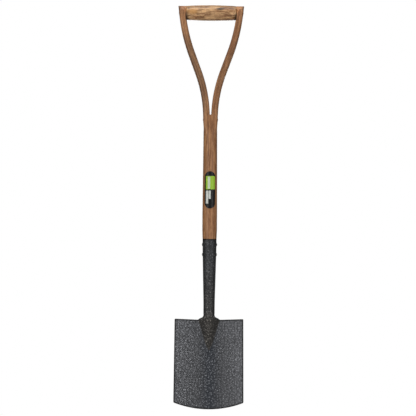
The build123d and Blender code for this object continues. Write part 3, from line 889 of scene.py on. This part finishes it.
def arm_line(outward, settings):
    """One side of the right arm, as the x, z, lean and length of many points from the root up.

    The lean is steady along three straights and changes evenly along the two bends between
    them. The centre line is the running sum of the lean's sine and cosine, and the side lies
    this far outward, square to it.
    """
    knots = np.concatenate([[0], np.cumsum(ARM_RUNS)])
    step = 0.2 * MM
    length = np.arange(0, knots[-1], step)
    lean = np.interp(length, knots, ARM_LEANS)
    x = ARM_START_X + np.concatenate([[0], np.cumsum(np.sin(lean))[:-1]]) * step
    z = settings.root_z + np.concatenate([[0], np.cumsum(np.cos(lean))[:-1]]) * step
    return x + outward * np.cos(lean), z - outward * np.sin(lean), lean, length


def kerf(settings):
    """The rounded bottom of the gap between the arms: its radius and its centre's height. It
    touches both arms' inner sides."""
    x, z, lean, _ = arm_line(-settings.thick / 2, settings)
    gap = (x[0] * cos(lean[0]) + (settings.crotch_z - z[0]) * sin(lean[0])) / (1 - sin(lean[0]))
    return gap, settings.crotch_z + gap


def arm_sides(z, settings):
    """At each height, x and the lean of the right arm's inner and outer side."""
    x, side_z, lean, _ = arm_line(settings.thick / 2, settings)
    outer = np.interp(z, side_z, x), np.interp(z, side_z, lean)
    x, side_z, lean, _ = arm_line(-settings.thick / 2, settings)
    inner = np.minimum(np.interp(z, side_z, x), settings.face_x)
    radius, centre = kerf(settings)
    bowl = np.sqrt(np.maximum(radius**2 - (z - centre) ** 2, 0))
    inner = np.where(z < settings.crotch_z, 0, np.where(z < centre, bowl, inner))
    inner_lean = np.where(inner < settings.face_x, np.interp(z, side_z, lean), 0)
    return (inner, inner_lean), outer


def eased(distance, radius):
    """How much a rounded edge takes off the depth, at this distance in from the side."""
    short = np.clip(radius - distance, 0, radius)
    return radius - np.sqrt(radius**2 - short**2)


def unbent(points, settings):
    """The place of each point in the straight wood, before it was bent: across, through and
    along it."""
    x, z, lean, length = arm_line(0, settings)
    height = np.clip(points[:, 2], settings.root_z, z[-1])
    slope = np.interp(height, z, lean)
    off = np.abs(points[:, 0]) - np.interp(height, z, x)
    share = smooth((points[:, 2] - settings.blend_z) / 0.08)
    side = np.where(points[:, 0] < 0, -1, 1)
    across = side * ((ARM_START_X + off * np.cos(slope)) * share + np.abs(points[:, 0]) * (1 - share))
    along = points[:, 2] + (settings.root_z + np.interp(height, z, length) - height
                            + off * np.sin(slope)) * (points[:, 2] > settings.root_z)
    return np.stack([across, points[:, 1], along], axis=-1)


def wishbone_half(settings):
    """The right half of the wishbone, with its inner wall, as two grids.

    Each level row runs over the front, the outer side and the back. The depth is half the
    blank's, less what the rounded edges take off at that distance from each side, and at the
    top no more than a circle about the grip's axis allows.
    """
    half = settings.depth / 2
    radius, centre = kerf(settings)
    top_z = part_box("shaft")[1][2]
    spring = top_z - half
    arc = np.sin(np.linspace(0, pi / 2, 18))
    z = np.concatenate([
        np.linspace(settings.root_z, settings.crotch_z - CROTCH_BAND, 10)[:-1],
        np.linspace(settings.crotch_z - CROTCH_BAND, settings.crotch_z, 12)[:-1],
        settings.crotch_z + radius * (1 - np.cos(np.linspace(0, pi / 2, 6)))[:-1],
        np.linspace(centre, spring, 74)[:-1],
        spring + half * arc,
    ])
    (inner, inner_lean), (outer, outer_lean) = (
        [a[:, None] for a in side] for side in arm_sides(z, settings))
    z = z[:, None]
    turn = np.linspace(0, pi / 2, 8)
    from_in = settings.edge_in * (1 - np.cos(turn))[None, :]
    from_out = settings.edge_out * (1 - np.cos(turn[::-1]))[None, :]
    near_in = inner + from_in / np.cos(inner_lean)
    near_out = outer - from_out / np.cos(outer_lean)
    share = np.linspace(0, 1, 8)[None, 1:-1]
    middle = near_in[:, -1:] * (1 - share) + near_out[:, :1] * share
    x = np.concatenate([near_in, middle, near_out], axis=1)
    d_out = np.abs(outer - x) * np.cos(outer_lean)
    d_in = np.where(z < centre, np.maximum(np.hypot(x, z - centre) - radius, 0),
                    (x - inner) * np.cos(inner_lean))
    crown = np.sqrt(np.maximum(half**2 - np.maximum(z - spring, 0) ** 2, 0))
    depth = half - eased(d_out, settings.edge_out) - eased(d_in, settings.edge_in)
    depth = np.minimum(np.minimum(depth, crown), half)
    wave = np.cos(np.linspace(0, pi, 9))[None, 1:-1]
    wall_y = -wave * depth[:, -1:]
    wall_x = outer + 0 * wall_y
    skin_x = np.concatenate([x, wall_x, x[:, ::-1]], axis=1)
    skin_y = np.concatenate([-depth, wall_y, depth[:, ::-1]], axis=1)
    skin = np.stack([skin_x, skin_y, z + 0 * skin_x], axis=-1)
    open_rows = z[:, 0] >= settings.crotch_z - 1e-9
    wave = np.cos(np.linspace(0, pi, 12))[None, :]
    face_y = -wave * depth[open_rows, :1]
    face = np.stack([inner[open_rows] + 0 * face_y, face_y, z[open_rows] + 0 * face_y], axis=-1)
    return skin, face


def round_half(first_row, settings):
    """The right half of the round shaft below the wishbone, as one grid down to its tenon's end.

    Its points lie at the same angles as the wishbone's lowest row, and that row turns into a
    circle of the shaft's radius over the blend.
    """
    angle = np.arctan2(first_row[:, 0], -first_row[:, 1])[None, :]
    share = np.linspace(1, 0, 14)[1:, None]
    z = settings.root_z + (settings.blend_z - settings.root_z) * (1 - share)
    radius = outline_radius(SHAFT, z)
    square = np.hypot(first_row[:, 0], first_row[:, 1])[None, :]
    blend = radius + (square - radius) * smooth(share)
    shaft_z = np.concatenate([np.linspace(settings.blend_z, TAPER_Z, 40)[1:],
                              np.linspace(TAPER_Z, SHAFT[-1, 1], 8)[1:]])[:, None]
    tenon_z = np.concatenate([[TENON[0, 1]], np.linspace(TENON[1, 1], TENON[-1, 1], 10)])[:, None]
    end = TENON[-1, 0] * np.array((0.96, 0.5, 0))[:, None]
    radii = np.concatenate([
        blend,
        outline_radius(SHAFT, shaft_z) + 0 * angle,
        outline_radius(TENON, tenon_z) + 0 * angle,
        end + 0 * angle,
    ])
    heights = np.concatenate([z, shaft_z, tenon_z, np.full(end.shape, TENON[-1, 1])])
    points = np.stack([radii * np.sin(angle), -radii * np.cos(angle), heights + 0 * radii], axis=-1)
    return np.concatenate([first_row[None], points])


def waisted(grid, settings):
    """Draws the wood in a little where the round shaft meets the wishbone: by a bell curve of
    the height."""
    bell = np.exp(-(((grid[..., 2:] - settings.root_z - WAIST_Z) / WAIST_REACH) ** 2))
    return grid * (1 - WAIST * bell * np.array((1, 1, 0)))


def mirrored(grid):
    """A grid turned over to the other side of the spade."""
    return grid[:, ::-1] * np.array((-1, 1, 1))


ROVE_SINK = 0.04 * MM       # the roves sit on flats cut this much deeper
GRIP_BAR = (0.01738, 0.03, 0.06268)     # the housings' radius, and where they start and end


def cut_seats(piece):
    """Sinks the flats for the roves and the shallow housings for the grip's ends into the wood,
    with round bars along X."""
    low, high = ends_of("grip_rove_right")
    fork_low, fork_high = ends_of("fork_rivet_rove")
    bars = (
        ((high[2] - low[2]) / 2 + 0.3 * MM, low[0] - ROVE_SINK, 0.1, 0),
        ((fork_high[2] - fork_low[2]) / 2 + 0.2 * MM, fork_low[0] - ROVE_SINK, 0.03,
         (fork_low[2] + fork_high[2]) / 2),
        (*GRIP_BAR, 0),
    )
    patches = []
    for radius, near, far, z in bars:
        bar = lathe([(near, 0), (near, radius), (far, radius), (far, 0)], 64, z)
        patches += [bar, mirrored(bar)]
    tool = loose_object(patchwork("seat_cutter", patches))
    cut = piece.modifiers.new("seats", "BOOLEAN")
    cut.operation = "DIFFERENCE"
    cut.solver = "EXACT"
    cut.object = tool
    return tool


class SPADE_OT_shaft(bpy.types.Operator):
    """Builds the ash shaft with its wishbone, bent from one piece"""

    bl_idname = "spade.shaft"
    bl_label = "Shaft"

    def execute(self, context):
        settings = context.scene.spade_shaft
        skin, face = wishbone_half(settings)
        stem = round_half(skin[0], settings)
        patches = [waisted(p, settings) for p in (skin, face, stem)]
        mesh = patchwork("ash_shaft", patches + [mirrored(p) for p in patches])
        piece = loose_object(mesh)
        tool = cut_seats(piece)
        soften_edges(piece, 0.6 * MM, 42)
        mesh = applied(piece)
        bpy.data.meshes.remove(tool.data)
        set_grain(mesh, lambda points: unbent(points, settings))
        place(mesh, ash(settings), "shaft", 40)
        return {"FINISHED"}


def set_grain(mesh, rule):
    """Stores each point's place in the straight wood, worked out by a rule, for the grain."""
    attribute = mesh.attributes.new("grain", "FLOAT_VECTOR", "POINT")
    attribute.data.foreach_set("vector", rule(coordinates(mesh)).astype(np.float32).ravel())


# ---------------------------------------------------------------- grip
def barrel(settings):
    """The grip's profile: an arc that swells towards its middle, with rounded ends."""
    half = settings.half
    rise = settings.middle - settings.end
    ball = (half**2 + rise**2) / (2 * rise)
    turn = np.linspace(0, pi / 2, 7)[:-1]
    x = np.concatenate([half - settings.edge + settings.edge * np.cos(turn), [half - settings.edge]])
    drop = np.concatenate([settings.edge * (1 - np.sin(turn)), [0]])
    body = np.linspace(x[-1], 0, 24)[1:]
    x = np.concatenate([x, body])
    drop = np.concatenate([drop, 0 * body])
    radius = settings.middle - ball + np.sqrt(ball**2 - x**2) - drop
    right = [(half, 0), (half, radius[0] * 0.5)] + list(zip(x, radius))
    return right + [(-a, r) for a, r in right[-2::-1]]


EVEN_FROM = 0.0622          # the grip is truly round from here out,
EVEN_OVER = 0.02            # and less and less so over this length


def uneven(grid, amount):
    """The turner's small faults: slow waves along and round the grip."""
    x, y, z = np.moveaxis(grid, -1, 0)
    angle = np.arctan2(z, y)
    wave = np.sin(x * 95 + 0.4) * np.cos(angle + 0.6) + 0.5 * np.sin(x * 210 + 2 * angle)
    fade = np.clip((EVEN_FROM - np.abs(x)) / EVEN_OVER, 0, 1)
    scale = 1 - amount * (1 + wave) * fade
    return np.stack([x, y * scale, z * scale], axis=-1)


class SPADE_OT_grip(bpy.types.Operator):
    """Builds the turned grip between the arms"""

    bl_idname = "spade.grip"
    bl_label = "Grip"

    def execute(self, context):
        settings = context.scene.spade_grip
        mesh = patchwork("turned_grip", [uneven(lathe(barrel(settings), 96), 0.004)])
        set_grain(mesh, lambda points: points[:, (1, 2, 0)])
        place(mesh, turned_ash(settings), "grip", 60)
        return {"FINISHED"}


# ---------------------------------------------------------------- label
LABEL_GAP = 0.05 * MM       # between the vinyl and the wood


def stadium(off):
    """A slot shape with round ends laid this far off the shaft: each row is as wide as the slot
    is at that height, and wraps round the shaft's circle there."""
    low, high = ends_of("label")
    half = (high[0] - low[0]) / 2
    end = np.sin(np.linspace(0, pi / 2, 12))
    z = np.concatenate([high[2] - half + half * end[::-1], low[2] + half - half * end])
    z = np.insert(z, 12, np.linspace(high[2] - half, low[2] + half, 22)[1:-1])[:, None]
    over = np.maximum(np.abs(z - (low[2] + high[2]) / 2) - ((high[2] - low[2]) / 2 - half), 0)
    wide = np.sqrt(np.maximum(half**2 - over**2, 0))
    x = wide * np.sin(np.linspace(-pi / 2, pi / 2, 25))[None, :]
    radius = outline_radius(SHAFT, z) + off
    return np.stack(np.broadcast_arrays(x, -np.sqrt(radius**2 - x**2), z), axis=-1)


class SPADE_OT_label(bpy.types.Operator):
    """Builds the vinyl label on the front of the shaft"""

    bl_idname = "spade.label"
    bl_label = "Label"

    def execute(self, context):
        settings = context.scene.spade_label
        outside = stadium(LABEL_GAP + settings.thick)
        inside = stadium(LABEL_GAP)
        rims = [np.stack([outside[:, c], inside[:, c]], axis=1) for c in (0, -1)]
        mesh = patchwork("vinyl_label", [outside, inside, *rims])
        low, high = ends_of("label")
        corner = np.empty(len(mesh.loops), dtype=int)
        mesh.loops.foreach_get("vertex_index", corner)
        share = (coordinates(mesh) - low) / (high - low)
        uv = mesh.uv_layers.new(name="label")
        uv.data.foreach_set("uv", share[corner][:, (0, 2)].astype(np.float32).ravel())
        place(mesh, vinyl(settings), "label", ROUNDED)
        return {"FINISHED"}


# ---------------------------------------------------------------- studio
AMBIENT = 0.12              # how strongly the white surround lights the spade
FLOOR_DROP = 0.3            # the floor lies this far below the spade,
FLOOR_HALF = 6              # and reaches this far
SIDE_ANGLE = radians(36)    # the side lights, off the camera's line
SIDE_DISTANCE = 2.4
SIDE_POWER = 26
SIDE_BIAS = -3              # added on the right, taken off on the left


def soft_light(name, place_at, aim_at, width, height, power):
    """A soft rectangle of light that faces a point."""
    data = bpy.data.lights.new(name, "AREA")
    data.shape = "RECTANGLE"
    data.size = width
    data.size_y = height
    data.energy = power
    lamp = bpy.data.objects.new(name, data)
    lamp.location = place_at
    lamp.rotation_euler = (Vector(aim_at) - Vector(place_at)).to_track_quat("-Z", "Y").to_euler()
    lamp.visible_camera = False
    bpy.context.scene.collection.objects.link(lamp)


def white_surround():
    """A plain white surround that lights the spade only weakly."""
    world = bpy.data.worlds.new("surround")
    world.use_nodes = True
    tree = world.node_tree
    shown = tree.nodes["Background"]
    shown.inputs["Color"].default_value = (1, 1, 1, 1)
    lighting = tree.nodes.new("ShaderNodeBackground")
    lighting.inputs["Strength"].default_value = AMBIENT
    path = tree.nodes.new("ShaderNodeLightPath")
    mix = tree.nodes.new("ShaderNodeMixShader")
    tree.links.new(path.outputs["Is Camera Ray"], mix.inputs["Fac"])
    tree.links.new(lighting.outputs["Background"], mix.inputs[1])
    tree.links.new(shown.outputs["Background"], mix.inputs[2])
    tree.links.new(mix.outputs["Shader"], tree.nodes["World Output"].inputs["Surface"])
    bpy.context.scene.world = world


def pale_floor(z, size):
    """A plain pale floor, well below the spade, that shows as white and throws little light back."""
    side = np.linspace(-size, size, 3)
    x, y = np.meshgrid(side, side)
    mesh = patchwork("floor", [np.stack([x, y, z + 0 * x], axis=-1)])
    if mesh.polygons[0].normal.z < 0:
        mesh.flip_normals()
    s = Shader("pale_floor")
    mottle = s.noise(s.place(), 2.5, 3.0)
    colour = s.ramp(mottle, (0.0, (0.55, 0.55, 0.55, 1)), (1.0, (0.6, 0.6, 0.6, 1)))
    mesh.materials.append(s.finish(colour, 0.85, mottle, 0.0005, 0.1))
    white = s.add("ShaderNodeEmission")
    shown = s.add("ShaderNodeLightPath").outputs["Is Camera Ray"]
    both = s.add("ShaderNodeMixShader", {0: shown, 1: s.surface.outputs["BSDF"],
                                         2: white.outputs["Emission"]})
    output = next(node for node in s.tree.nodes if node.type == "OUTPUT_MATERIAL")
    s.join(both.outputs["Shader"], output.inputs["Surface"])
    loose_object(mesh)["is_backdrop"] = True


class SPADE_OT_studio(bpy.types.Operator):
    """Builds the floor, the surround, the soft lights and the camera"""

    bl_idname = "spade.studio"
    bl_label = "Studio"

    def execute(self, context):
        settings = context.scene.spade_studio
        scene = context.scene
        scene.view_settings.view_transform = "Standard"
        low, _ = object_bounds()
        white_surround()
        pale_floor(low[2] - FLOOR_DROP, FLOOR_HALF)
        middle = (0, 0, settings.eye_z)
        for side in (-1, 1):
            at = (side * SIDE_DISTANCE * sin(SIDE_ANGLE), -SIDE_DISTANCE * cos(SIDE_ANGLE),
                  settings.eye_z + 0.1)
            soft_light("side_light", at, middle, 0.4, 2.2, SIDE_POWER + SIDE_BIAS * side)
        soft_light("top_light", (0, -0.5, 1.3), (0, 0, -0.1), 0.9, 0.7, 15)
        soft_light("back_light", (0, 2.4, 0.3), middle, 1.1, 2.0, 34)
        data = bpy.data.cameras.new("camera")
        data.angle = 2 * atan2(settings.frame_width / 2, settings.distance)
        camera = bpy.data.objects.new("camera", data)
        camera.location = (-settings.aside, -settings.distance, settings.eye_z)
        camera.rotation_euler = (pi / 2, -settings.roll, 0)
        scene.collection.objects.link(camera)
        scene.camera = camera
        return {"FINISHED"}


# ---------------------------------------------------------------- the add-on
class SPADE_PT_panel(bpy.types.Panel):
    """Lists the pieces and what can be changed about them"""

    bl_label = "Garden spade"
    bl_idname = "SPADE_PT_panel"
    bl_space_type = "VIEW_3D"
    bl_region_type = "UI"
    bl_category = "Spade"

    def draw(self, context):
        layout = self.layout
        for operator in OPERATORS:
            layout.operator(operator.bl_idname)
        for name in SETTINGS:
            box = layout.box()
            box.label(text=name.replace("_", " "))
            settings = getattr(context.scene, name)
            for key in settings.__annotations__:
                box.prop(settings, key)


SETTINGS = {
    "spade_head": SpadeHeadSettings,
    "spade_shaft": SpadeShaftSettings,
    "spade_grip": SpadeGripSettings,
    "spade_label": SpadeLabelSettings,
    "spade_studio": SpadeStudioSettings,
}
OPERATORS = (SPADE_OT_shaft, SPADE_OT_head, SPADE_OT_rivets, SPADE_OT_grip, SPADE_OT_hardware,
             SPADE_OT_label, SPADE_OT_studio)


def register():
    for kind in (*SETTINGS.values(), *OPERATORS, SPADE_PT_panel):
        bpy.utils.register_class(kind)
    for name, kind in SETTINGS.items():
        setattr(bpy.types.Scene, name, PointerProperty(type=kind))


def unregister():
    for name in SETTINGS:
        delattr(bpy.types.Scene, name)
    for kind in (SPADE_PT_panel, *reversed(OPERATORS), *reversed(SETTINGS.values())):
        bpy.utils.unregister_class(kind)


def main():
    """Builds every piece and the studio."""
    register()
    bpy.ops.spade.shaft()
    bpy.ops.spade.head()
    bpy.ops.spade.rivets()
    bpy.ops.spade.grip()
    bpy.ops.spade.hardware()
    bpy.ops.spade.label()
    bpy.ops.spade.studio()


if __name__ == "__main__":
    main()
